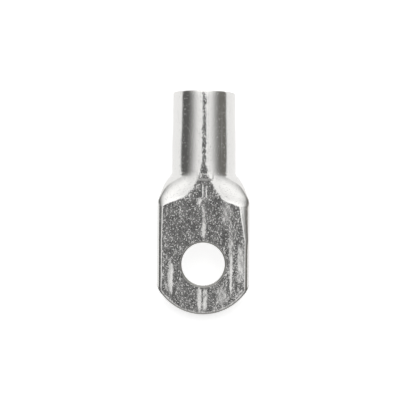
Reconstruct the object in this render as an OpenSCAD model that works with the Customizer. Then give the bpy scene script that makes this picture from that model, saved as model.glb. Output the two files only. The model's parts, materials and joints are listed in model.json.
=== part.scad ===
// Tubular cable lug of tin-plated copper, for a 50 mm2 conductor and an M8 stud.
// One length of tube is pressed flat at one end, punched and cropped. What is left
// round is the barrel, which is crimped on the conductor.
//
// The lug is drawn level first: the contact face of the palm is the plane z = 0, the
// metal is below it, +Y runs from the palm to the barrel's mouth, and the stud hole's
// axis is x = y = 0. Contact face up, a loose lug tips until its tip and the knee of
// its shoulder touch what it lies on, so the whole is then turned about X by that angle.

/* [Barrel] */
// Outer diameter of the tube
barrel_od = 12.4; // [10:0.1:16]
// Wall thickness of the tube
wall = 1.3; // [0.9:0.1:1.8]
// Length of the untouched round barrel, from the apex of the vee to the mouth
barrel_len = 13.8; // [8:0.2:40]
// Chamfer inside the mouth, which leads the strands in
lead_in = 0.35; // [0.1:0.05:0.6]

/* [Palm] */
// Diameter of the stud hole
stud_hole_d = 8.4; // [5.3:0.1:10.5]
// Metal left between the stud hole and the tip of the palm
tip_margin = 5.5; // [4:0.1:10]
// How far the radius of the cropped tip exceeds half the palm's width
tip_corner = 1.1; // [0.2:0.1:6]
// Length of flat palm from the stud hole's axis to the shoulder
palm_len = 11.2; // [8:0.2:24]

/* [Shoulder] */
// Length over which the flat palm swells to the round barrel
shoulder_len = 6.6; // [5:0.2:14]
// How far the vee of the contact face runs on along the barrel past the shoulder
vee_len = 2.2; // [0.6:0.1:4]
// Width that the sides of the vee would have where the palm begins
vee_width = 3.9; // [2:0.1:6]
// How much lower than the barrel the tube has been drawn in at the knee
knee_dip = 0.5; // [0:0.1:1]
// Length past the palm in which the sides of the contact face stay folded flat
fold_len = 1; // [0:0.1:1.6]
// Length before the knee at which the sides of the contact face are round again
crease_gap = 0.6; // [0:0.1:1.6]
// Length over which the flat narrows from the whole palm to the vee
flare_len = 1.9; // [1:0.1:3]

/* [Edges] */
// Chamfer on sawn, cropped and punched edges
edge_break = 0.25; // [0.1:0.05:0.4]

/* [Hidden] */

// Facets of the exact round surfaces
ROUND_FN = 96;
// Points round one section of the shoulder, and rings along it
SECTION_POINTS = 64;
SHOULDER_RINGS = 20;
KNEE_RINGS = 2;
VEE_RINGS = 3;
// The shoulder's skin lies this far inside the barrel and the palm where they meet, and
// no section of the hollow is drawn lower than this
SEAT = 0.01;
// Depth by which joined solids and cutters run into each other
OVERLAP = 0.4;
// The hollow ends where its height falls to this
PINCH_GAP = 0.3;
// How suddenly the flat narrows at the foot of the shoulder
FLARE_POWER = 2.6;

barrel_r = barrel_od / 2;
bore_r = barrel_r - wall;
mean_r = barrel_r - wall / 2;
palm_t = 2 * wall;

// A quarter of the tube's mean line, which keeps its length as the tube is flattened
quarter_line = 90 * mean_r * PI / 180;

foot_y = palm_len;
knee_y = foot_y + shoulder_len;
apex_y = knee_y + vee_len;
fold_y = foot_y + fold_len;
crease_y = knee_y - crease_gap;
tip_reach = stud_hole_d / 2 + tip_margin;

// Half the flat between the folded edges of the palm, and half the palm's width
palm_flat = quarter_line - PI * wall / 4;
palm_half = palm_flat + wall;
tip_r = palm_half + tip_corner;

// 0 at the foot of the shoulder, 1 at its knee and beyond
function along(y) = min(1, max(0, (y - foot_y) / shoulder_len));

// Half the height of the section at y: smooth at the foot, creased at the knee
knee_half = barrel_r - knee_dip / 2;
function half_height(y) =
    y > knee_y
    ? knee_half + (barrel_r - knee_half) * (y - knee_y) / vee_len
    : let (s = along(y)) wall + (knee_half - wall) * s * s * (2 - s);

// The lug tips until its underside meets the line from the cropped tip's lower edge
tip_edge_y = edge_break - tip_reach;
rest_tilt = max([
    for (y = [knee_y, apex_y])
        atan((2 * half_height(y) - palm_t) / (y - tip_edge_y))
]);

// Depth of the section's widest line below the contact face. It stays one wall deep
// past the palm, since that side lies on a flat die, and is the barrel's at the crease.
function upper_height(y) =
    let (s = min(1, max(0, (y - fold_y) / (crease_y - fold_y))))
    wall + (barrel_r - wall) * s * s;

// Height of the section from its widest line to the sloping side
function lower_height(y) = 2 * half_height(y) - upper_height(y);

// Half the flat of the section at y: the vee, and its spread to the palm at the foot
function vee_half(y) = vee_width / 2 * (apex_y - y) / (apex_y - foot_y);
function half_flat(y) =
    vee_half(y) + (palm_flat - vee_half(y)) * exp(-pow((y - foot_y) / flare_len, FLARE_POWER));

// Half-width of the rounded side at y, which uses up the rest of the mean line
function side_run(y) =
    let (
        upper = upper_height(y) - wall / 2,
        lower = lower_height(y) - wall / 2,
        q = 2 * (quarter_line - half_flat(y)) / PI
    )
    sqrt(max(2 * q * q - (upper * upper + lower * lower) / 2, wall * wall / 4)) + wall / 2;

// Section at y, drawn inset by `inset`: a flat, and a quarter ellipse at each corner
function section(y, inset) = [
    for (k = [0 : SECTION_POINTS - 1])
        let (
            phi = 360 * (k + 0.5) / SECTION_POINTS,
            height = phi < 180 ? upper_height(y) : lower_height(y),
            x = (side_run(y) - inset) * cos(phi) + sign(cos(phi)) * half_flat(y),
            z = max(height - inset, SEAT) * sin(phi) - upper_height(y)
        )
        [x, y, z]
];

// A ring moved along Y, which carries the end of a skin into its neighbour
function moved(ring, dy) = [for (p = ring) [p[0], p[1] + dy, p[2]]];

// Closed skin over a list of rings of points
module skin(rings) {
    n = len(rings[0]);
    last = len(rings) - 1;
    sides = [
        for (r = [0 : last - 1], k = [0 : n - 1])
            let (m = (k + 1) % n)
            each [
                [r * n + k, r * n + m, (r + 1) * n + m],
                [r * n + k, (r + 1) * n + m, (r + 1) * n + k]
            ]
    ];
    foot_cap = [for (k = [n - 1 : -1 : 0]) k];
    head_cap = [for (k = [0 : n - 1]) last * n + k];
    polyhedron(
        points = [for (ring = rings) each ring],
        faces = concat(sides, [foot_cap, head_cap]),
        convexity = 6
    );
}

// Places where the shoulder's sections are drawn, from y_low to the apex of the vee
function stations(y_low) = concat(
    [for (i = [0 : SHOULDER_RINGS]) y_low + (crease_y - y_low) * i / SHOULDER_RINGS],
    [for (i = [1 : KNEE_RINGS]) crease_y + (knee_y - crease_y) * i / KNEE_RINGS],
    [for (i = [1 : VEE_RINGS]) knee_y + vee_len * i / VEE_RINGS]
);

// Outside of the shoulder, between palm and barrel
module shoulder() {
    rings = [for (y = stations(foot_y)) section(y, SEAT)];
    skin(concat(
        [moved(section(foot_y, wall / 4), -OVERLAP)],
        rings,
        [moved(section(apex_y, wall / 4), OVERLAP)]
    ));
}

// Where the two walls have come together and the hollow ends
function pinch_y(low, high, steps = 20) =
    let (mid = (low + high) / 2)
    steps == 0 ? mid
    : 2 * (half_height(mid) - wall) > PINCH_GAP ? pinch_y(low, mid, steps - 1)
    : pinch_y(mid, high, steps - 1);

// The hollow of the shoulder, one wall inside its outside
module shoulder_hollow() {
    rings = [for (y = stations(pinch_y(fold_y, crease_y))) section(y, wall + SEAT)];
    skin(concat(rings, [moved(section(apex_y, wall + 2 * SEAT), OVERLAP)]));
}

// Round barrel, with a broken outer edge at the mouth
module barrel() {
    translate([0, apex_y, -barrel_r])
        rotate([-90, 0, 0])
            rotate_extrude($fn = ROUND_FN)
                polygon([
                    [0, 0],
                    [barrel_r, 0],
                    [barrel_r, barrel_len - edge_break],
                    [barrel_r - edge_break, barrel_len],
                    [0, barrel_len]
                ]);
}

// The bore and its lead-in chamfer
module bore() {
    translate([0, apex_y, -barrel_r])
        rotate([-90, 0, 0]) {
            cylinder(h = barrel_len + OVERLAP, r = bore_r, $fn = ROUND_FN);
            translate([0, 0, barrel_len - lead_in])
                cylinder(
                    h = lead_in + OVERLAP,
                    r1 = bore_r,
                    r2 = bore_r + lead_in + OVERLAP,
                    $fn = ROUND_FN
                );
        }
}

// Section of the palm across the tube: two walls pressed together, folded at each side
module palm_section() {
    translate([-palm_flat, -palm_t])
        square([2 * palm_flat, palm_t]);
    for (side = [-1, 1])
        translate([side * palm_flat, -wall])
            circle(r = wall, $fn = ROUND_FN);
}

// Disc of the cropped tip, with its edges broken
module tip_disc() {
    translate([0, tip_r - tip_reach, -palm_t])
        rotate_extrude($fn = 2 * ROUND_FN)
            polygon([
                [0, 0],
                [tip_r - edge_break, 0],
                [tip_r, edge_break],
                [tip_r, palm_t - edge_break],
                [tip_r - edge_break, palm_t],
                [0, palm_t]
            ]);
}

// Flat palm, cropped to an arc at the tip
module palm() {
    intersection() {
        translate([0, foot_y, 0])
            rotate([90, 0, 0])
                linear_extrude(height = foot_y + tip_reach)
                    palm_section();
        union() {
            tip_disc();
            translate([-palm_half - 1, tip_r - tip_reach, -palm_t - 1])
                cube([2 * palm_half + 2, foot_y + tip_reach, palm_t + 2]);
        }
    }
}

// Punched stud hole, broken at both faces
module stud_hole() {
    hole_r = stud_hole_d / 2;
    translate([0, 0, -palm_t])
        rotate_extrude($fn = ROUND_FN)
            polygon([
                [0, -OVERLAP],
                [hole_r + edge_break + OVERLAP, -OVERLAP],
                [hole_r, edge_break],
                [hole_r, palm_t - edge_break],
                [hole_r + edge_break + OVERLAP, palm_t + OVERLAP],
                [0, palm_t + OVERLAP]
            ]);
}

// The lug as it lies: contact face up, tipped on to its tip and its knee
module lug() {
    color("lightgray")
        rotate([rest_tilt, 0, 0])
            difference() {
                union() {
                    palm();
                    shoulder();
                    barrel();
                }
                stud_hole();
                bore();
                shoulder_hollow();
            }
}

lug();
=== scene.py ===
# %% [markdown]
# # A tubular cable lug, pressed from one length of tinned copper tube
#
# The lug is a length of copper tube. One end stays round and takes the conductor. The other end is
# pressed flat in a die, punched for a stud, cropped to an arc, and the whole is plated with tin.
# This lesson makes it in the same order: a tube is drawn out, pressed, cropped and punched, and
# then it gets its plating, a table to lie on and light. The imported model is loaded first, because
# it says how large the lug is and how it lies.

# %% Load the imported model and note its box
import json
import math

import bpy
from mathutils import Matrix, Vector


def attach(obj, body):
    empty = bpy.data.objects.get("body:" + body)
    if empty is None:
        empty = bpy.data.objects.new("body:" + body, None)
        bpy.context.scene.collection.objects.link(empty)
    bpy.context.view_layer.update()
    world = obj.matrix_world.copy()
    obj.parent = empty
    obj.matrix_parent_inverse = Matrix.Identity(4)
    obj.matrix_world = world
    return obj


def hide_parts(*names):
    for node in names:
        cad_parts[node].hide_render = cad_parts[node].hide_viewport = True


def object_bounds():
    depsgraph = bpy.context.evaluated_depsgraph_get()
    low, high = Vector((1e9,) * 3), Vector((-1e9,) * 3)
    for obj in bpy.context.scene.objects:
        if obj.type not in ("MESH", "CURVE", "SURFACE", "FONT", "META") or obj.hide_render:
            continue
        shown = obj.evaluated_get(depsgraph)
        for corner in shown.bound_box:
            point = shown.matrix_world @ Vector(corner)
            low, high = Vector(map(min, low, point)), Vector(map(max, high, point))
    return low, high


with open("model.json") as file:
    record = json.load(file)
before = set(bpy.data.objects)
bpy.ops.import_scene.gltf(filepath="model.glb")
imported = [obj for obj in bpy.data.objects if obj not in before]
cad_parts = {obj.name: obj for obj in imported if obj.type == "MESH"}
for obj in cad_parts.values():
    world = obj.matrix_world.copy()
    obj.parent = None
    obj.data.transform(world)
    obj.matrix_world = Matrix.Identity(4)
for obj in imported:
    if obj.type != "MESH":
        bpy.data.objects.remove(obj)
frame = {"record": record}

cad_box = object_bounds()
print("packed box, mm:", [[round(1000 * c, 2) for c in corner] for corner in cad_box])

# %% [markdown]
# ## Sizes
#
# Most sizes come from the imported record: the stud hole, the bore, the two walls of the palm and
# the way the contact face leans. Only what the record doesn't say is given here, in millimetres
# and turned to metres once. The lug is modelled level, with its contact face up at z = 0, the stud
# hole's axis at x = y = 0 and the barrel along +Y, because that is how a press would hold it. It
# is laid down as it rests once its shape is done.

# %% Sizes from the record
MM = 0.001
mounts = {mount["name"]: mount for mount in frame["record"]["mounts"]}
hole_r = mounts["stud_hole"]["dims"]["r_mm"] * MM
bore_r = mounts["conductor_bore"]["dims"]["r_mm"] * MM
palm_t = mounts["stud_hole"]["dims"]["length_mm"] * MM
bore_len = mounts["conductor_bore"]["dims"]["length_mm"] * MM
wall = palm_t / 2
barrel_r = bore_r + wall
mean_r = barrel_r - wall / 2
face_normal = Vector(mounts["contact_face"]["axis"]).normalized()
along_lug = Vector((0, face_normal.z, -face_normal.y))
print(f"tube {2 * barrel_r / MM:.1f} x {wall / MM:.1f} mm, stud hole {2 * hole_r / MM:.1f} mm")

# %% Sizes along the lug, from the stud hole's axis
lead_in = 0.35 * MM
mouth_y = Vector(mounts["conductor_bore"]["pos_m"]).dot(along_lug) + lead_in
apex_y = mouth_y - lead_in - bore_len
foot_y = 11.2 * MM
knee_y = 17.8 * MM
tip_reach = 9.7 * MM
tip_r = 10.1 * MM
print(f"foot {foot_y / MM:.1f}, knee {knee_y / MM:.1f}, apex of the vee {apex_y / MM:.1f}, "
      f"mouth {mouth_y / MM:.1f} mm")

# %% [markdown]
# ## The press
#
# A press changes a tube's section but not the length of its wall. So each section here is a flat
# with a quarter ellipse at each corner, and what the flat takes of the wall's mean line the
# ellipses lose. The height of the section falls from the barrel to two walls at the palm, and the
# flat widens from the point of the vee to the whole palm. A cage of points could be pulled about
# until it looks right, but these few rules are the shoulder's whole shape, so they are written as
# functions.

# %% Section rules
vee_width = 3.9 * MM
knee_dip = 0.5 * MM
flare_len = 1.9 * MM
flare_power = 2.6
fold_y = foot_y + 1.0 * MM
crease_y = knee_y - 0.6 * MM
quarter_line = math.pi / 2 * mean_r
palm_flat = quarter_line - math.pi * wall / 4
knee_half = barrel_r - knee_dip / 2


def along(y):
    """0 at the foot of the shoulder, 1 at its knee and beyond."""
    return min(1, max(0, (y - foot_y) / (knee_y - foot_y)))


def half_height(y):
    """Half the height of the section: smooth at the foot, creased at the knee."""
    if y >= apex_y:
        return barrel_r
    if y > knee_y:
        return knee_half + (barrel_r - knee_half) * (y - knee_y) / (apex_y - knee_y)
    s = along(y)
    return wall + (knee_half - wall) * s * s * (2 - s)


def upper_height(y):
    """Depth of the section's widest line below the contact face."""
    s = min(1, max(0, (y - fold_y) / (crease_y - fold_y)))
    return wall + (barrel_r - wall) * s * s


def lower_height(y):
    """Height of the section from its widest line to the sloping side."""
    return 2 * half_height(y) - upper_height(y)


def half_flat(y, flare_y=foot_y):
    """Half the flat of the contact face: the vee, and from flare_y down its spread."""
    if y >= apex_y:
        return 0
    vee_half = vee_width / 2 * min(1, (apex_y - y) / (apex_y - foot_y))
    spread = math.exp(-(max(0, y - flare_y) / flare_len) ** flare_power)
    return vee_half + (palm_flat - vee_half) * spread


def side_run(y, flat):
    """Half-width of the rounded side, which uses up what the flat leaves of the mean line."""
    upper, lower = upper_height(y) - wall / 2, lower_height(y) - wall / 2
    mean_side = 2 * (quarter_line - flat) / math.pi
    square = 2 * mean_side**2 - (upper**2 + lower**2) / 2
    return math.sqrt(max(square, wall**2 / 4)) + wall / 2


print(f"palm {2 * (palm_flat + wall) / MM:.2f} mm wide, pressed from a tube of "
      f"{2 * barrel_r / MM:.1f} mm")

# %% [markdown]
# ## What a real press adds
#
# A pressed part is never quite its drawing. The fold along the palm's sides is tighter than half
# a circle, the metal over the shoulder is squarer where the die stops, and the flare starts
# earlier on one side than on the other. The barrel springs a little oval, and the saw leaves the
# mouth slightly out of square, with its rim drawn in. Sculpting could give all this, but one
# function that moves each point of the round tube keeps the wall's thickness and repeats exactly.

# %% How far the real part departs from the drawing
sharper_fold = 0.27 * MM
seam_gap = 0.02 * MM
squareness = 1.0
square_full_y = foot_y + 2 * MM
square_fades_y = knee_y - 2.6 * MM
square_gone_y = knee_y + 0.6 * MM
early_flare = {-1: 0.5 * MM, 1: 1.1 * MM}
oval = 0.02
oval_fades_y, oval_gone_y = apex_y + 3 * MM, apex_y + 9 * MM
saw_slant = 0.16 * MM
saw_reach = 3 * MM
rim_draw = 0.06 * MM
rim_draw_reach = 0.35 * MM
print(f"flare early by {early_flare[-1] / MM:.1f} and {early_flare[1] / MM:.1f} mm, "
      f"mouth {saw_slant / MM:.2f} mm out of square")


# %% The press, point by point
def share_between(value, start, end):
    """0 at start, 1 at end, soft at both."""
    s = min(1, max(0, (value - start) / (end - start)))
    return s * s * (3 - 2 * s)


def pressed(point):
    """Where the press and the saw take a point of the round tube."""
    radius = math.hypot(point.x, point.z + barrel_r)
    inset = barrel_r - radius
    cosine, sine = point.x / radius, (point.z + barrel_r) / radius
    y = point.y
    height = upper_height(y) if sine > 0 else lower_height(y)
    outer = 1 - inset / (wall - seam_gap)
    spread = sharper_fold * max(0, outer) * (1 - share_between(y, foot_y, crease_y))
    if sine > 0:
        square = 1 + squareness / 2 * cosine**2 * share_between(
            y, foot_y, square_full_y) * share_between(y, square_gone_y, square_fades_y)
        cosine, sine = math.copysign(abs(cosine) ** (1 / square), cosine), sine ** (1 / square)
    side = math.copysign(1, cosine)
    full_flat = half_flat(y)
    flat = half_flat(y, foot_y - early_flare[side]) if sine > 0 else full_flat
    run = side_run(y, full_flat) + full_flat - flat
    inset += rim_draw * share_between(y, mouth_y - rim_draw_reach, mouth_y)
    x = (run - inset - spread) * cosine + side * (flat + spread)
    z = (height - inset) * sine - upper_height(y)
    swell = oval * share_between(y, crease_y, apex_y) * share_between(y, oval_gone_y, oval_fades_y)
    slant = saw_slant * share_between(y, mouth_y - saw_reach, mouth_y) * (1 + x / barrel_r) / 2
    return Vector((x * (1 + swell), y - slant, z * (1 - swell)))


side_of_tube = Vector((barrel_r, 0, -barrel_r))
print("the tube's side at the hole goes to, mm:",
      [round(c / MM, 2) for c in pressed(side_of_tube)])

# %% [markdown]
# ## The tube
#
# The tube starts as a circle at the sawn mouth. It is extruded ring by ring down the outside to
# past the palm's tip, drawn in by one wall, and extruded back up the inside, so the blank is one
# closed skin with a real bore. A cylinder with a Solidify modifier would be quicker, but its rings
# would be evenly spaced. Here they are close where the press bends the wall and few where it
# stays straight. The palm has some only across the stud hole, because one long face that wraps
# round a hole is cut into triangles badly.

# %% Small helpers for modelling
SIDES = 160
TOUCH = 0.001 * MM


def select_none():
    """Deselect every object, so that an operator acts only on what is chosen next."""
    bpy.ops.object.select_all(action="DESELECT")


def name_active(name):
    """Name the object that was just added, and its mesh."""
    bpy.context.object.name = bpy.context.object.data.name = name
    return bpy.context.object


def select_edges(piece, wanted):
    """Select in edit mode the edges whose two ends pass wanted(ends), and count them."""
    bpy.ops.object.mode_set(mode="EDIT")
    bpy.ops.mesh.select_mode(type="EDGE")
    bpy.ops.mesh.select_all(action="DESELECT")
    bpy.ops.object.mode_set(mode="OBJECT")
    count = 0
    for edge in piece.data.edges:
        edge.select = wanted([piece.data.vertices[v].co for v in edge.vertices])
        count += edge.select
    bpy.ops.object.mode_set(mode="EDIT")
    return count


print("points round the tube:", SIDES)

# %% Rings of the blank
SHOULDER_RINGS = 56
BARREL_RINGS = 10
rim_break = 0.06 * MM
spare = 2 * MM
rim_rings = [mouth_y - rim_break] + [mouth_y - drop * MM for drop in (0.15, 0.25, 0.35)]
barrel_rings = [mouth_y - i / BARREL_RINGS * (mouth_y - apex_y) for i in range(1, BARREL_RINGS)]
shoulder_rings = [apex_y - i / SHOULDER_RINGS * (apex_y - foot_y)
                  for i in range(SHOULDER_RINGS + 1)]
hole_rings = [share * hole_r for share in (1.12, 0.7, 0.35, 0, -0.35, -0.7, -1.12)]
palm_rings = hole_rings + [-tip_reach - spare]
outside = [(y, 0) for y in rim_rings + barrel_rings + shoulder_rings + palm_rings]
inside = [(y, wall - seam_gap) for y in (shoulder_rings + palm_rings)[::-1]]
lead = [(mouth_y - lead_in, wall), (mouth_y, wall - lead_in)]
route = outside + inside + lead
print("rings:", len(outside), "outside,", len(inside), "inside,", len(lead), "at the lead-in")

# %% Draw out the blank
select_none()
bpy.ops.mesh.primitive_circle_add(
    vertices=SIDES, radius=barrel_r - rim_break,
    location=(0, mouth_y, -barrel_r), rotation=(math.pi / 2, math.pi / SIDES, 0))
lug = name_active("tinned_lug")
bpy.ops.object.transform_apply(location=True, rotation=True, scale=True)
bpy.ops.object.mode_set(mode="EDIT")
y_now, inset_now = mouth_y, rim_break
for y_next, inset_next in route:
    scale = (barrel_r - inset_next) / (barrel_r - inset_now)
    bpy.ops.mesh.extrude_region_move(TRANSFORM_OT_translate={"value": (0, y_next - y_now, 0)})
    bpy.ops.transform.resize(value=(scale, 1, scale), center_override=(0, y_next, -barrel_r))
    y_now, inset_now = y_next, inset_next
bpy.ops.object.mode_set(mode="OBJECT")
print("blank:", len(lug.data.vertices), "points")

# %% Close the rim
rim_edges = select_edges(lug, lambda ends: all(abs(p.y - mouth_y) < TOUCH for p in ends))
bpy.ops.mesh.bridge_edge_loops()
bpy.ops.mesh.select_all(action="SELECT")
bpy.ops.mesh.normals_make_consistent(inside=False)
bpy.ops.object.mode_set(mode="OBJECT")
print("rim edges bridged:", rim_edges, "faces:", len(lug.data.polygons))

# %% [markdown]
# The press leaves only a fine gap where the two walls of the palm meet, and there the points of
# the tube's inside come to lie a thousandth of a millimetre apart. They are merged here, before
# any cut, while the order of the points is still the one they were drawn in, so that the same
# points are merged each time. The order of the faces, and with it a few diagonals, still varies.

# %% Press it
merge_below = 0.003 * MM
for vertex in lug.data.vertices:
    vertex.co = pressed(vertex.co)
points_before = len(lug.data.vertices)
bpy.ops.object.mode_set(mode="EDIT")
bpy.ops.mesh.select_all(action="SELECT")
bpy.ops.mesh.remove_doubles(threshold=merge_below)
bpy.ops.object.mode_set(mode="OBJECT")
print("pressed, with", points_before - len(lug.data.vertices), "points merged in the seam")

# %% [markdown]
# ## Crop and punch
#
# On the real lug one tool crops the tip to an arc and a punch shears the stud hole. The same two
# cuts are made here as booleans with plain tools, because a cut through both walls leaves the fine
# seam between them, as the shears do. The cropping tool is a drum whose far half is pulled out
# past the mouth, so that what it keeps is everything inside the arc.

# %% The cropping tool and the punch
DRUM_SIDES, PUNCH_SIDES = 256, 128
tool_depth = 30 * MM
tip_centre_y = tip_r - tip_reach


def cut(piece, tool, operation):
    """Apply a boolean with the tool to the piece, and put the tool away."""
    select_none()
    piece.select_set(True)
    bpy.context.view_layer.objects.active = piece
    boolean = piece.modifiers.new("cut", "BOOLEAN")
    boolean.object, boolean.operation, boolean.solver = tool, operation, "EXACT"
    bpy.ops.object.modifier_apply(modifier=boolean.name)
    bpy.data.objects.remove(tool)


select_none()
bpy.ops.mesh.primitive_cylinder_add(
    vertices=DRUM_SIDES, radius=tip_r, depth=tool_depth, location=(0, tip_centre_y, 0))
cropper = name_active("cropper")
bpy.ops.object.transform_apply(location=True, rotation=True, scale=True)
for vertex in cropper.data.vertices:
    if vertex.co.y > tip_centre_y + TOUCH:
        vertex.co.y += 2 * mouth_y
cut(lug, cropper, "INTERSECT")

select_none()
bpy.ops.mesh.primitive_cylinder_add(vertices=PUNCH_SIDES, radius=hole_r, depth=tool_depth)
cut(lug, name_active("punch"), "DIFFERENCE")
print("after cropping and punching:", len(lug.data.polygons), "faces")

# %% [markdown]
# Shearing draws the skin over the edge before it tears, so a cropped or punched edge on a flat
# face is round. A bevel on the edges of both cuts gives that. It stops where the palm's folded
# side begins, because the side is already round, and a bevel that ran on along it would fold over
# itself.

# %% Round the cropped and punched edges
edge_round = 0.31 * MM
EDGE_SEGMENTS = 3
hair = 0.01 * MM


def on_cut_edge(ends):
    """Both ends on a flat face, and on the punched circle or the cropped arc."""
    return all(
        abs(p.z + wall) > wall - hair
        and (abs(math.hypot(p.x, p.y) - hole_r) < hair
             or p.y < tip_centre_y and abs(math.hypot(p.x, p.y - tip_centre_y) - tip_r) < hair)
        for p in ends)


print("edges rounded:", select_edges(lug, on_cut_edge))
bpy.ops.mesh.bevel(
    offset=edge_round, segments=EDGE_SEGMENTS, affect="EDGES", clamp_overlap=False)
bpy.ops.object.mode_set(mode="OBJECT")

# %% [markdown]
# ## As it lies
#
# Contact face up, a loose lug tips until the tip of its palm and the knee of its shoulder touch
# the table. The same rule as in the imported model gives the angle: the steepest line from the
# palm's lower edge to the underside at the knee or at the end of the shoulder. The turn goes into
# the mesh, so the object itself stays at the origin. Shading is smooth up to an angle, and
# weighted normals keep the flat palm flat beside its small rounded edges.

# %% Lay it down and smooth it
edge_break = 0.25 * MM
SMOOTH_BELOW = 35
tip_edge_y = edge_break - tip_reach
rest_tilt = max(math.atan2(2 * half_height(y) - palm_t, y - tip_edge_y) for y in (knee_y, apex_y))
lug.data.transform(Matrix.Rotation(rest_tilt, 4, "X"))
select_none()
lug.select_set(True)
bpy.context.view_layer.objects.active = lug
bpy.ops.object.shade_smooth_by_angle(angle=math.radians(SMOOTH_BELOW))
weighted = lug.modifiers.new("weighted", "WEIGHTED_NORMAL")
weighted.keep_sharp = True
bpy.ops.object.modifier_apply(modifier=weighted.name)
print(f"lug: {len(lug.data.polygons)} faces, laid down at {math.degrees(rest_tilt):.2f} degrees")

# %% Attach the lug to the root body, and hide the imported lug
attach(lug, "root")
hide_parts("lug")
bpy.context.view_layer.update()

# %% [markdown]
# ## Tin plate
#
# The real finish is electroplated tin, a few thousandths of a millimetre thick, over copper that
# has been squeezed between steel dies. Tin is a pale, faintly warm grey metal. Nearly all that
# the eye sees in it is a reflection, and the dies' marks show mostly by how they bend it. A picture
# wrapped round the lug would stretch over the shoulder and carry its own light, so the skin is
# worked out from nodes instead, in real millimetres: where the dies pressed, the streaks they
# drew, the grain, the mark of the die's edge, and the torn edges of the cuts. Two of these also
# get a darker colour that is painted light: a painted reflection on the rounded cut edges, and
# painted shade at the foot of the die's step.

# %% Helpers for materials


def linear(hex_colour):
    """An sRGB hex colour as the linear colour that a shader reads."""
    channels = [int(hex_colour[i:i + 2], 16) / 255 for i in (1, 3, 5)]
    return [c / 12.92 if c <= 0.04045 else ((c + 0.055) / 1.055) ** 2.4 for c in channels] + [1]


def add(tree, kind, inputs=None, **settings):
    """Add a node, give it its settings, and set each input or link it to a node's first output."""
    node = tree.nodes.new(kind)
    for name, value in settings.items():
        setattr(node, name, value)
    for name, value in (inputs or {}).items():
        if isinstance(value, bpy.types.Node):
            value = next(socket for socket in value.outputs if socket.enabled)
        if isinstance(value, bpy.types.NodeSocket):
            tree.links.new(value, node.inputs[name])
        else:
            node.inputs[name].default_value = value
    return node


def new_material(name):
    """An empty node material and its tree."""
    material = bpy.data.materials.new(name)
    material.use_nodes = True
    material.node_tree.nodes.clear()
    return material, material.node_tree


SOFT = {"interpolation_type": "SMOOTHSTEP"}
TIMES, PLUS, LESS, LARGER = (
    {"operation": name} for name in ("MULTIPLY", "ADD", "SUBTRACT", "MAXIMUM"))
print("a mid grey, linear:", [round(c, 3) for c in linear("#808080")])

# %% [markdown]
# The pattern is laid out on the level lug, so the object's own coordinates are turned back by the
# angle at which it lies and scaled to millimetres. Seen from straight above, only x and y count:
# the marks of a press go straight down through both walls.

# %% Where on the lug: level coordinates in millimetres
tin, tree = new_material("tin_plate")
place = add(tree, "ShaderNodeTexCoord").outputs["Object"]
level = add(tree, "ShaderNodeMapping", {
    "Vector": place, "Rotation": (-rest_tilt, 0, 0), "Scale": (1 / MM, 1 / MM, 1 / MM)})
axes = add(tree, "ShaderNodeSeparateXYZ", {"Vector": level}).outputs
plan = add(tree, "ShaderNodeVectorMath", {0: level, 1: (1, 1, 0)}, **TIMES)
print("pattern turned back by", round(math.degrees(rest_tilt), 2), "degrees")

# %% [markdown]
# The dies touch the tube only where it ends up flat: on the whole contact face with its vee, and
# on the underside of the palm. There the skin is coarse. Everywhere else it keeps the smooth face
# of drawn tube. So the share of pressed skin is 1 close to either flat and fades over a few
# hundredths of a millimetre as the wall curves away.

# %% Where the dies have pressed
palm_mm = palm_t / MM
foot_mm = foot_y / MM
near_face = add(tree, "ShaderNodeMapRange", {
    "Value": axes["Z"], "From Min": -0.08, "From Max": -0.01}, **SOFT)
near_underside = add(tree, "ShaderNodeMapRange", {
    "Value": axes["Z"], "From Min": 0.1 - palm_mm, "From Max": 0.02 - palm_mm}, **SOFT)
on_palm = add(tree, "ShaderNodeMapRange", {
    "Value": axes["Y"], "From Min": foot_mm + 0.6, "From Max": foot_mm}, **SOFT)
underside_pressed = add(tree, "ShaderNodeMath", {0: near_underside, 1: on_palm}, **TIMES)
pressed_share = add(tree, "ShaderNodeMath", {0: near_face, 1: underside_pressed}, **PLUS)
print("pressed down to y =", foot_mm, "mm on the underside")

# %% [markdown]
# The copper slides along the die as it is squeezed, and leaves long soft streaks that point down
# the lug. Each mirrors as one facet. A height that falls and rises again would lean both ways, so
# a streak is drawn as a place where the skin leans by a few degrees, which moves what it reflects.
# It is an ellipse with soft ends: its centre, its half width and half length in millimetres, and
# its lean across and along in degrees. On a streak the grain is worn down to less than half its
# height. The places and leans were set one by one.

# %% Streaks: places where the skin leans a little to one side
STREAKS = {
    "two fine lines in the vee, and a dent at their foot": [
        ((-0.12, 14.2), (0.24, 2.4), (6, 0)), ((0.46, 14.0), (0.2, 2.2), (-5, 0)),
        ((-0.9, 12.1), (0.7, 1.4), (-4, 0))],
    "middle of the palm": [
        ((0.15, 9.2), (0.7, 4.6), (3, 0)), ((0.1, 6.1), (0.7, 2.6), (3.4, 0))],
    "from the hole to the tip": [
        ((-0.75, -6.8), (0.75, 3.6), (-5, 0)), ((0.5, -6.9), (0.75, 3.4), (4.6, 0))],
    "left of the hole": [
        ((-6.4, -2.6), (0.85, 5.0), (-3.8, 0)), ((-6.1, -3.2), (0.3, 3.6), (-2.5, 0))],
    "right of the hole": [
        ((5.4, 3.0), (0.7, 8), (2.4, 0)), ((5.45, -2.4), (0.4, 5.6), (5, 0)),
        ((7.5, 0.0), (1.3, 6.5), (2.4, 0)), ((4.6, 10), (1.8, 3.6), (1.6, 0)),
        ((3.7, -6.2), (1.9, 3.0), (2.4, 0))],
    "drawn along the barrel": [((3.46, 26), (0.25, 11), (-8, 0))],
    "beside the vee, where the face bends to the shoulder": [
        ((-2.4, 17.6), (1.8, 2.6), (0, -9)), ((3.2, 17.6), (1.5, 2.4), (0, -9))],
}
lean, worn = (0, 0, 0), 0.0
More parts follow.
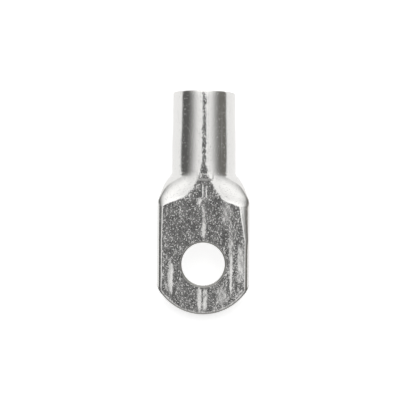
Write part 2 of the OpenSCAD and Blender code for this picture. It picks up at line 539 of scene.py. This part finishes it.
for centre, half_size, degrees in sum(STREAKS.values(), []):
    away = add(tree, "ShaderNodeVectorMath", {0: plan, 1: (*centre, 0)}, **LESS)
    away = add(tree, "ShaderNodeVectorMath", {0: away, 1: (*half_size, 1)}, operation="DIVIDE")
    away = add(tree, "ShaderNodeVectorMath", {0: away}, operation="LENGTH")
    mark = add(tree, "ShaderNodeMapRange", {
        "Value": away, "From Min": 1.0, "From Max": 0.2}, **SOFT)
    turned = [math.radians(angle) for angle in (*degrees, 0)]
    turned = add(tree, "ShaderNodeVectorMath", {0: mark, 1: turned}, **TIMES)
    lean = add(tree, "ShaderNodeVectorMath", {0: turned, 1: lean}, **PLUS)
    worn = add(tree, "ShaderNodeMath", {0: mark, 1: worn}, **LARGER)
upper_side = add(tree, "ShaderNodeMapRange", {
    "Value": axes["Z"], "From Min": -1.6, "From Max": -1.2}, **SOFT)
lean = add(tree, "ShaderNodeVectorMath", {0: lean, 1: upper_side}, **TIMES)
print("streaks:", {where: len(marks) for where, marks in STREAKS.items()})

# %% [markdown]
# Squeezed copper shows its crystals, in grains that gather in clumps, with small pits between
# them. Grains in soft copper tube are usually some hundredths of a millimetre across. That is a
# rule of thumb and wasn't measured on this lug. It is far too fine to show here, so they are drawn
# at 0.5 mm, and the height of the relief was set by trial until the skin's tones looked right.
# Three noise textures give them. One noise with more detail would give a cloud with no grain size
# of its own.

# %% Grain of the pressed skin
GRAIN_MM, CLUMP_MM, PIT_MM = 0.5, 1.6, 0.3
grain = add(tree, "ShaderNodeTexNoise", {
    "Vector": level, "Scale": 1 / GRAIN_MM, "Detail": 1.5, "Roughness": 0.55})
clump = add(tree, "ShaderNodeTexNoise", {"Vector": level, "Scale": 1 / CLUMP_MM, "Detail": 1.0})
pit = add(tree, "ShaderNodeTexNoise", {"Vector": level, "Scale": 1 / PIT_MM, "Detail": 0.0})
rise = add(tree, "ShaderNodeMapRange", {
    "Value": pressed_share, "To Min": 0.007, "To Max": 0.028})
patchy = add(tree, "ShaderNodeMapRange", {
    "Value": clump, "From Min": 0.35, "From Max": 0.65, "To Min": 0.55, "To Max": 1.35})
kept = add(tree, "ShaderNodeMapRange", {"Value": worn, "To Min": 1.0, "To Max": 0.45})
for factor in (patchy, kept):
    rise = add(tree, "ShaderNodeMath", {0: rise, 1: factor}, **TIMES)
grains = add(tree, "ShaderNodeMath", {0: grain, 1: rise}, **TIMES)
waves = add(tree, "ShaderNodeMapRange", {
    "Value": pressed_share, "To Min": 0.004, "To Max": 0.03})
waves = add(tree, "ShaderNodeMath", {0: clump, 1: waves}, **TIMES)
pits = add(tree, "ShaderNodeMapRange", {
    "Value": pit, "From Min": 0.68, "From Max": 0.78, "To Max": -0.012}, **SOFT)
print(f"grains {GRAIN_MM} mm, clumps {CLUMP_MM} mm, pits {PIT_MM} mm across")

# %% [markdown]
# The upper die ends partway up the vee. Its edge leaves a small step across the vee there, which
# the tube's own skin takes up again over the next millimetre and a half. Round the tip the
# cropping tool has rolled the face down a little before the edge. Both are heights, like the
# grain, so all are added into one relief in millimetres for a single bump node, and the lean of
# the streaks is added to the normal that it gives.

# %% The die's edge and the rolled edge of the tip
DIE_EDGE_MM = 16.6
TIP_MM = tip_r / MM
step = add(tree, "ShaderNodeMapRange", {
    "Value": axes["Y"], "From Min": DIE_EDGE_MM - 0.12, "From Max": DIE_EDGE_MM,
    "To Max": 0.045}, **SOFT)
past_step = add(tree, "ShaderNodeMapRange", {
    "Value": axes["Y"], "From Min": DIE_EDGE_MM + 1.5, "From Max": DIE_EDGE_MM}, **SOFT)
sideways = add(tree, "ShaderNodeMath", {0: axes["X"], 1: 0.3}, **LESS)
sideways = add(tree, "ShaderNodeMath", {0: sideways}, operation="ABSOLUTE")
in_vee = add(tree, "ShaderNodeMapRange", {
    "Value": sideways, "From Min": 1.65, "From Max": 1.35}, **SOFT)
for factor in (past_step, in_vee):
    step = add(tree, "ShaderNodeMath", {0: step, 1: factor}, **TIMES)
from_tip_centre = add(tree, "ShaderNodeVectorMath", {
    0: plan, 1: (0, tip_centre_y / MM, 0)}, operation="DISTANCE")
at_tip = add(tree, "ShaderNodeMapRange", {
    "Value": axes["Y"], "From Min": -4.0, "From Max": -4.7}, **SOFT)
roll = add(tree, "ShaderNodeMapRange", {
    "Value": from_tip_centre, "From Min": TIP_MM - 0.52, "From Max": TIP_MM - 0.3,
    "To Max": -0.014}, **SOFT)
roll = add(tree, "ShaderNodeMath", {0: roll, 1: at_tip}, **TIMES)
print("the die's edge lies", round(knee_y / MM - DIE_EDGE_MM, 1), "mm before the knee")

# %% One relief, and the normal it gives
relief = grains
for height in (waves, pits, step, roll):
    relief = add(tree, "ShaderNodeMath", {0: relief, 1: height}, **PLUS)
bump = add(tree, "ShaderNodeBump", {"Height": relief, "Distance": MM})
leaned = add(tree, "ShaderNodeVectorMath", {0: lean, 1: bump}, **PLUS)
leaned = add(tree, "ShaderNodeVectorMath", {0: leaned}, operation="NORMALIZE")
print("nodes so far:", len(tree.nodes))

# %% [markdown]
# Where the tools have torn through the metal the skin is dull, because a torn face scatters the
# light, so its roughness is raised. It is also given a darker colour in a thin ring round the
# stud hole and along the tip, which is a painted reflection: it stands in for the dark line that
# the rounded edges mirror there. The same darker colour in a thin band across the vee, at the
# foot of the die's step, is painted shade below the step. These places are found by their
# distance from the cuts and from the die's edge, not drawn on a texture, so they stay on the edges
# if a size changes.

# %% Torn edges, with a painted reflection on their rims and painted shade below the die's step
HOLE_MM = hole_r / MM
HOLE_TEAR_AND_SHADE_MM, TIP_TEAR_AND_SHADE_MM = 0.36, 0.32
FADE_IN_MM, TIP_FADE_IN_MM = 0.12, 0.1
from_axis = add(tree, "ShaderNodeVectorMath", {0: plan}, operation="LENGTH")
hole_edge = add(tree, "ShaderNodeMapRange", {
    "Value": from_axis, "From Min": HOLE_MM + HOLE_TEAR_AND_SHADE_MM,
    "From Max": HOLE_MM + HOLE_TEAR_AND_SHADE_MM - FADE_IN_MM}, **SOFT)
tip_edge = add(tree, "ShaderNodeMapRange", {
    "Value": from_tip_centre, "From Min": TIP_MM - TIP_TEAR_AND_SHADE_MM,
    "From Max": TIP_MM - TIP_TEAR_AND_SHADE_MM + TIP_FADE_IN_MM}, **SOFT)
tip_edge = add(tree, "ShaderNodeMath", {0: tip_edge, 1: at_tip}, **TIMES)
torn_and_painted_dark = add(tree, "ShaderNodeMath", {0: hole_edge, 1: tip_edge}, **LARGER)
depth = add(tree, "ShaderNodeMath", {0: axes["Z"], 1: wall / MM}, **PLUS)
depth = add(tree, "ShaderNodeMath", {0: depth}, operation="ABSOLUTE")
near_a_face = add(tree, "ShaderNodeMapRange", {
    "Value": depth, "From Min": 0.85, "From Max": 1.0, "To Min": 0.4}, **SOFT)
torn_and_painted_dark = add(tree, "ShaderNodeMath", {0: torn_and_painted_dark, 1: near_a_face}, **TIMES)
# Painted shade: a thin band across the vee at the foot of the die's step, darkened where the step's
# shade falls.
painted_step_shade = add(tree, "ShaderNodeMath", {0: axes["Y"], 1: DIE_EDGE_MM - 0.28}, **LESS)
painted_step_shade = add(tree, "ShaderNodeMath", {0: painted_step_shade}, operation="ABSOLUTE")
painted_step_shade = add(tree, "ShaderNodeMapRange", {
    "Value": painted_step_shade, "From Min": 0.14, "From Max": 0.04}, **SOFT)
for factor in (in_vee, near_face):
    painted_step_shade = add(tree, "ShaderNodeMath", {0: painted_step_shade, 1: factor}, **TIMES)
torn_and_painted_dark = add(tree, "ShaderNodeMath", {0: torn_and_painted_dark, 1: painted_step_shade}, **LARGER)
print(f"torn skin up to {HOLE_TEAR_AND_SHADE_MM} mm from the hole and {TIP_TEAR_AND_SHADE_MM} mm from the tip")

# %% [markdown]
# The plate itself is a metal with the default IOR. Its colour is a pale warm grey, #E9E8E6, and
# #A3A29E where it is torn. That darker grey on the rounded rims of the cuts is a painted
# reflection, and across the foot of the die's step it is painted shade. Tin plate can be bright
# or matt, and this is in between: the roughness is 0.14 to 0.17, clump by clump, 0.19 where it is
# worn, and 0.4 where it is torn and on the band below the step. Colour, roughness, relief and
# light were tried together until the tones were right. Other sets of values could give the same
# tones, so none of them is a measurement.

# %% The plate
# The darker grey is painted light: a painted reflection on the rounded cut rims and painted shade
# below the die's step.
colour = add(tree, "ShaderNodeMix", {
    "Factor": torn_and_painted_dark, "A": linear("#E9E8E6"), "B": linear("#A3A29E")}, data_type="RGBA")
rough = add(tree, "ShaderNodeMapRange", {
    "Value": clump, "From Min": 0.35, "From Max": 0.65, "To Min": 0.14, "To Max": 0.17})
for share, roughness in ((worn, 0.19), (torn_and_painted_dark, 0.4)):
    rough = add(tree, "ShaderNodeMix", {"Factor": share, "A": rough, "B": roughness})
surface = add(tree, "ShaderNodeBsdfPrincipled", {
    "Base Color": colour, "Metallic": 1.0, "Roughness": rough, "Normal": leaned})
add(tree, "ShaderNodeOutputMaterial", {"Surface": surface})
lug.data.materials.clear()
lug.data.materials.append(tin)
print(tin.name, "has", len(tree.nodes), "nodes")

# %% [markdown]
# ## Table
#
# A part like this is shown on a white board that keeps only a faint shadow. More light would
# make any board white, but it would wash out the metal too. So the board is a pale diffuse white,
# and only what the camera itself sees of it is lifted to full white. Rays that come by way of the
# metal see it plain white, as they would see a real board from close by.

# %% Table
TABLE_SIZE = 4
CAMERA_LIFT = 0.55
select_none()
bpy.ops.mesh.primitive_plane_add(size=TABLE_SIZE, location=(0, 0, cad_box[0][2]))
table = name_active("table")
bpy.ops.object.transform_apply(location=True, rotation=True, scale=True)
board, tree = new_material("white_board")
ray = add(tree, "ShaderNodeLightPath").outputs
paint = add(tree, "ShaderNodeBsdfDiffuse", {"Color": linear("#F0F0F0")})
lift = add(tree, "ShaderNodeMath", {0: ray["Is Camera Ray"], 1: CAMERA_LIFT}, **TIMES)
glow = add(tree, "ShaderNodeEmission", {"Color": linear("#FFFFFF"), "Strength": lift})
lit = add(tree, "ShaderNodeAddShader", {0: paint, 1: glow})
mirrored = add(tree, "ShaderNodeEmission", {"Color": linear("#FFFFFF"), "Strength": 1.0})
whole = add(tree, "ShaderNodeMixShader", {0: ray["Is Glossy Ray"], 1: lit, 2: mirrored})
add(tree, "ShaderNodeOutputMaterial", {"Surface": whole})
table.data.materials.append(board)
print(f"table at z = {cad_box[0][2] / MM:.2f} mm")

# %% [markdown]
# ## Light
#
# Polished metal is lit by what stands round it, so the studio is what has to be built, and the
# world's colour can be that studio. A long soft box hangs over the lug and runs along it. It is
# brightest overhead and falls off to grey sheets on both sides, the right one warmer. Its tones
# and the size of its parts were set by trial, and it stands for no real studio. The camera
# looks through an opening in it, which the flat palm mirrors as a dark patch. That is why a face
# square to the camera looks darker than the shoulder. Lamps would give the same light, but their
# edges would show in the barrel.

# %% How the light falls off from the middle to both sides
FALL = [(0.28, "#FFFFFF"), (0.45, "#E8E8E8"), (0.566, "#CCCCCC"), (0.669, "#A8A8A7"),
        (0.766, "#868685")]
LEFT_SHEET, RIGHT_SHEET = "#616160", "#75736F"
SHEET_FROM = 0.85
world = bpy.data.worlds.new("studio")
bpy.context.scene.world = world
world.use_nodes = True
tree = world.node_tree
tree.nodes.clear()
ray_way = add(tree, "ShaderNodeTexCoord").outputs["Generated"]
across, along_it, facing = [
    add(tree, "ShaderNodeVectorMath", {0: ray_way, 1: axis}, operation="DOT_PRODUCT")
    for axis in ((1, 0, 0), along_lug, face_normal)]
ramp_place = add(tree, "ShaderNodeMapRange", {"Value": across, "From Min": -1.0})
strip = add(tree, "ShaderNodeValToRGB", {"Fac": ramp_place})
stops = (
    [(-1, LEFT_SHEET), (-SHEET_FROM, LEFT_SHEET)] + [(-x, tone) for x, tone in FALL[::-1]]
    + FALL + [(SHEET_FROM, RIGHT_SHEET), (1, RIGHT_SHEET)])
elements = strip.color_ramp.elements
elements.remove(elements[0])
for k, (x, tone) in enumerate(stops):
    element = elements[0] if k == 0 else elements.new((x + 1) / 2)
    element.position = (x + 1) / 2
    element.color = linear(tone)
print("stops across the studio:", len(elements))

# %% The opening for the lens, and the light along the lug
LENS_HALF_WIDTH, LENS_HALF_LENGTH = 0.118, 0.27
off_axis = add(tree, "ShaderNodeCombineXYZ", {"X": across, "Y": along_it})
off_axis = add(tree, "ShaderNodeVectorMath", {
    0: off_axis, 1: (LENS_HALF_WIDTH, LENS_HALF_LENGTH, 1)}, operation="DIVIDE")
off_axis = add(tree, "ShaderNodeVectorMath", {0: off_axis}, operation="LENGTH")
gain = add(tree, "ShaderNodeMapRange", {
    "Value": off_axis, "From Min": 1.15, "From Max": 0.85, "To Min": 1.0, "To Max": 0.08})
brighter_behind = add(tree, "ShaderNodeMapRange", {
    "Value": along_it, "From Min": 0.1, "From Max": 0.4, "To Min": 1.0, "To Max": 1.3})
darker_in_front = add(tree, "ShaderNodeMapRange", {
    "Value": along_it, "From Min": -0.4, "From Max": -0.1, "To Min": 0.5, "To Max": 1.0})
for factor in (brighter_behind, darker_in_front):
    gain = add(tree, "ShaderNodeMath", {0: gain, 1: factor}, **TIMES)
lit_strip = add(tree, "ShaderNodeMix", {
    "Factor": 1.0, "A": strip, "B": gain}, data_type="RGBA", blend_type="MULTIPLY")
print(f"opening {2 * LENS_HALF_WIDTH:.2f} wide and {2 * LENS_HALF_LENGTH:.2f} long, as sines")

# %% White board below the horizon, and white behind for the camera
low = add(tree, "ShaderNodeMapRange", {
    "Value": facing, "From Min": math.cos(math.radians(91)),
    "From Max": math.cos(math.radians(86)), "To Min": 1.0, "To Max": 0.0})
sky = add(tree, "ShaderNodeMix", {
    "Factor": low, "A": lit_strip, "B": linear("#FFFFFF")}, data_type="RGBA")
studio = add(tree, "ShaderNodeBackground", {"Color": sky, "Strength": 1.0})
plain = add(tree, "ShaderNodeBackground", {"Color": linear("#FFFFFF"), "Strength": 1.0})
ray = add(tree, "ShaderNodeLightPath").outputs
both = add(tree, "ShaderNodeMixShader", {0: ray["Is Camera Ray"], 1: studio, 2: plain})
add(tree, "ShaderNodeOutputWorld", {"Surface": both})
print(world.name, "has", len(tree.nodes), "nodes")

# %% [markdown]
# ## Camera
#
# The camera looks straight down on the contact face, so it leans back by as much as the lug does.
# It could be placed and turned by hand. Here its three axes are built from the face's normal and
# the direction along the lug instead, with a small roll, because then it stays square to the face.
# It stands 210 mm away with a long lens, so near and far parts are drawn at almost one size.

# %% Camera
AIM_ACROSS, AIM_ALONG = -0.70 * MM, 12.46 * MM
CAMERA_AWAY = 210 * MM
CAMERA_ROLL = math.radians(0.45)
camera_data = bpy.data.cameras.new("camera")
camera_data.lens = 97.7
camera_data.sensor_width = 36
camera_data.clip_start = 0.01
camera = bpy.data.objects.new("camera", camera_data)
bpy.context.scene.collection.objects.link(camera)
aim = Vector((AIM_ACROSS, 0, 0)) + along_lug * AIM_ALONG
up = along_lug * math.cos(CAMERA_ROLL) - Vector((1, 0, 0)) * math.sin(CAMERA_ROLL)
right = up.cross(face_normal)
camera.matrix_world = Matrix.Translation(aim + face_normal * CAMERA_AWAY) @ Matrix(
    (right, up, face_normal)).transposed().to_4x4()
bpy.context.scene.camera = camera
bpy.context.scene.view_settings.view_transform = "Standard"
print("camera at, mm:", [round(c / MM, 1) for c in camera.matrix_world.translation])
